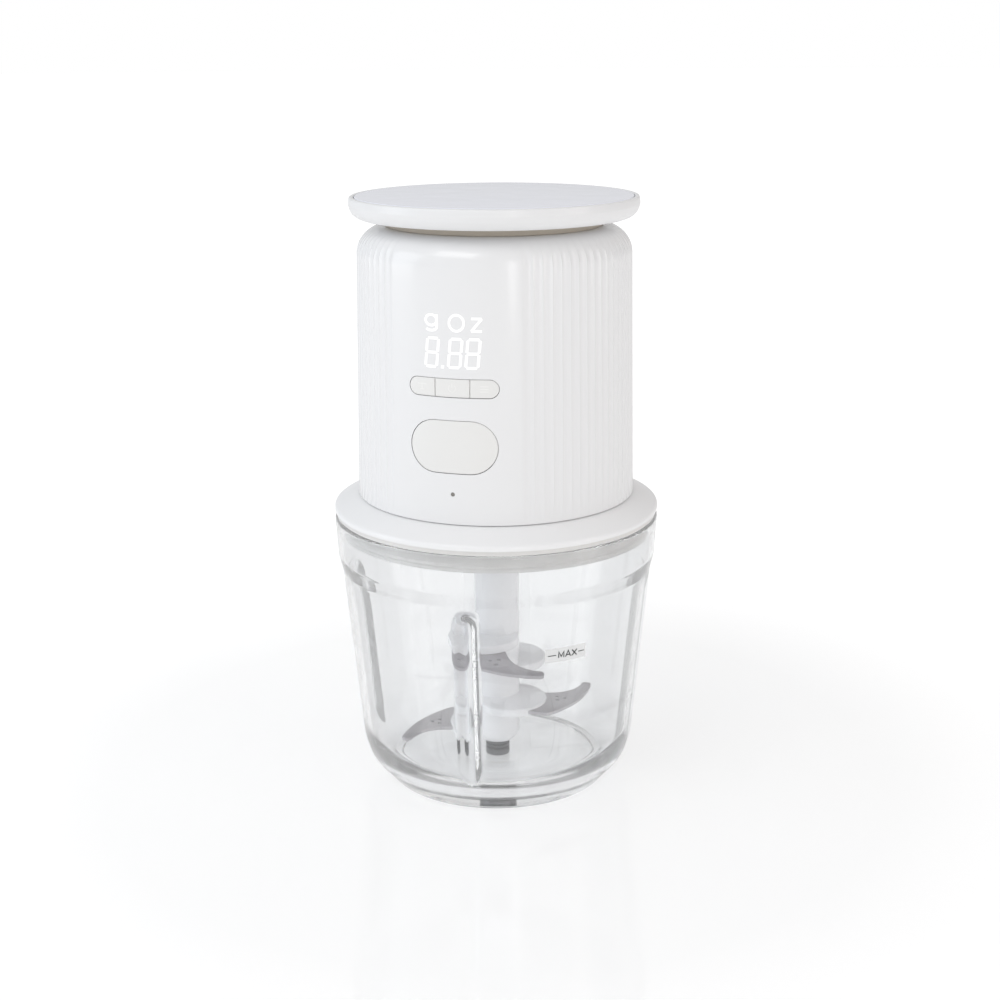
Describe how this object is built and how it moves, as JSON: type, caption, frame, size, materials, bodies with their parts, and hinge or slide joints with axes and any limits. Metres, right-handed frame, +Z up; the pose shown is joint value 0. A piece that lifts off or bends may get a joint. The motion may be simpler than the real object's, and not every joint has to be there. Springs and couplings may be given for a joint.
{
  "type": "food processor",
  "caption": "Small cordless food chopper: clear round bowl, spinning blade set, white lid, fluted motor unit with front keys and a weighing plate on top.",
  "frame": {"origin": "centre of the bowl's foot, on the surface it stands on", "axes": "+Z up along the blade's axis, the front panel with its keys faces -Y, +X to its right seen from the front"},
  "size_m": [0.12, 0.12, 0.2184],
  "materials": {
    "white_body": "satin moulded white",
    "white_keys": "smooth moulded white",
    "lilac_plate": "smooth, pale lavender",
    "clear_bowl": "clear, polished",
    "white_spindle": "polished moulded white",
    "blade_steel": "ground stainless steel",
    "pin_steel": "dark, polished",
    "seal_silicone": "matte silicone, warm grey",
    "gasket_rubber": "matte, dark brown-grey",
    "soft_flap": "matte soft white",
    "gear_plastic": "natural acetal",
    "frame_plastic": "moulded grey-white",
    "motor_steel": "zinc plated",
    "magnet_ferrite": "matte, dark",
    "copper_core": "enamelled copper",
    "bush_bronze": "sintered bronze",
    "battery_wrap": null,
    "board_green": "glass-fibre board",
    "display_dark": "dark digit block",
    "alloy": "milled",
    "screw_steel": "zinc plated"
  },
  "bodies": {
    "bowl": {"bowl": "clear_bowl", "bowl_pin": "pin_steel"},
    "lid": {"lid": "white_body", "lid_seal": "seal_silicone"},
    "motor_unit": {"housing_shell": "white_body", "status_light": "clear_bowl", "neck_gasket": "gasket_rubber", "bottom_cover": "white_body", "output_bearing": "bush_bronze", "cover_screws": "screw_steel", "inner_frame": "frame_plastic", "gearbox_housing": "gear_plastic", "motor_plate": "motor_steel", "motor_screws": "screw_steel", "motor_can": "motor_steel", "motor_end_cap": "frame_plastic", "motor_magnets": "magnet_ferrite", "battery_cells": "battery_wrap", "battery_cradle": "frame_plastic", "main_board": "board_green", "panel_board": "board_green", "display_block": "display_dark", "key_switches": "display_dark", "charging_port": "motor_steel", "load_cell": "alloy", "load_cell_screws": "screw_steel"},
    "bush": {"spindle_bush": "bush_bronze"},
    "blade_unit": {"spindle": "white_spindle", "blade_1": "blade_steel", "blade_2": "blade_steel", "blade_3": "blade_steel", "blade_4": "blade_steel"},
    "gear_carrier": {"planet_carrier": "motor_steel", "drive_coupling": "white_spindle"},
    "motor_rotor": {"motor_shaft": "motor_steel", "motor_armature": "copper_core", "sun_gear": "gear_plastic"},
    "planet_1": {"planet_gear_1": "gear_plastic"},
    "planet_2": {"planet_gear_2": "gear_plastic"},
    "planet_3": {"planet_gear_3": "gear_plastic"},
    "platform": {"scale_tray": "white_body", "scale_plate": "lilac_plate", "platform_carrier": "alloy", "carrier_screws": "screw_steel"},
    "chop_key": {"chop_button": "white_keys"},
    "left_key": {"key_left": "white_keys"},
    "middle_key": {"key_middle": "white_keys"},
    "right_key": {"key_right": "white_keys"},
    "flap": {"port_cover": "soft_flap"}
  },
  "joints": [
    {"name": "lid_lift", "type": "slide", "parent": "bowl", "child": "lid", "axis": [0, 0, 1], "range_m": [0, 0.2]},
    {"name": "unit_lift", "type": "slide", "parent": "lid", "child": "motor_unit", "axis": [0, 0, 1], "range_m": [0, 0.06]},
    {"name": "blade_lift", "type": "slide", "parent": "bowl", "child": "bush", "axis": [0, 0, 1], "range_m": [0, 0.1]},
    {"name": "blade_spin", "type": "hinge", "parent": "bush", "child": "blade_unit", "pos_m": [0, 0, 0.05], "axis": [0, 0, 1], "continuous": true},
    {"name": "carrier_spin", "type": "hinge", "parent": "motor_unit", "child": "gear_carrier", "pos_m": [0, 0, 0.11], "axis": [0, 0, 1], "continuous": true},
    {"name": "rotor_spin", "type": "hinge", "parent": "motor_unit", "child": "motor_rotor", "pos_m": [0, 0, 0.15], "axis": [0, 0, 1], "continuous": true},
    {"name": "planet_1_spin", "type": "hinge", "parent": "gear_carrier", "child": "planet_1", "pos_m": [0.01238, 0, 0.1176], "axis": [0, 0, 1], "continuous": true},
    {"name": "planet_2_spin", "type": "hinge", "parent": "gear_carrier", "child": "planet_2", "pos_m": [-0.00619, 0.01072, 0.1176], "axis": [0, 0, 1], "continuous": true},
    {"name": "planet_3_spin", "type": "hinge", "parent": "gear_carrier", "child": "planet_3", "pos_m": [-0.00619, -0.01072, 0.1176], "axis": [0, 0, 1], "continuous": true},
    {"name": "platform_press", "type": "slide", "parent": "motor_unit", "child": "platform", "axis": [0, 0, -1], "range_m": [0, 0.0004], "stiffness_N_per_m": 6000, "springref_m": -0.0005, "deforming": ["load_cell"]},
    {"name": "chop_press", "type": "slide", "parent": "motor_unit", "child": "chop_key", "axis": [0, 1, 0], "range_m": [0, 0.001], "stiffness_N_per_m": 800, "springref_m": -0.001},
    {"name": "left_press", "type": "slide", "parent": "motor_unit", "child": "left_key", "axis": [0, 1, 0], "range_m": [0, 0.0005], "stiffness_N_per_m": 800, "springref_m": -0.001},
    {"name": "middle_press", "type": "slide", "parent": "motor_unit", "child": "middle_key", "axis": [0, 1, 0], "range_m": [0, 0.0005], "stiffness_N_per_m": 800, "springref_m": -0.001},
    {"name": "right_press", "type": "slide", "parent": "motor_unit", "child": "right_key", "axis": [0, 1, 0], "range_m": [0, 0.0005], "stiffness_N_per_m": 800, "springref_m": -0.001},
    {"name": "flap_swing", "type": "hinge", "parent": "motor_unit", "child": "flap", "pos_m": [0, 0.0504, 0.1187], "axis": [-1, 0, 0], "range_deg": [0, 100]}
  ],
  "couplings": [
    {"joint": "blade_lift", "follows": "lid_lift", "ratio": 0.5},
    {"joint": "carrier_spin", "follows": "blade_spin", "ratio": 1},
    {"joint": "rotor_spin", "follows": "blade_spin", "ratio": 5},
    {"joint": "planet_1_spin", "follows": "blade_spin", "ratio": -2.6667},
    {"joint": "planet_2_spin", "follows": "blade_spin", "ratio": -2.6667},
    {"joint": "planet_3_spin", "follows": "blade_spin", "ratio": -2.6667}
  ]
}
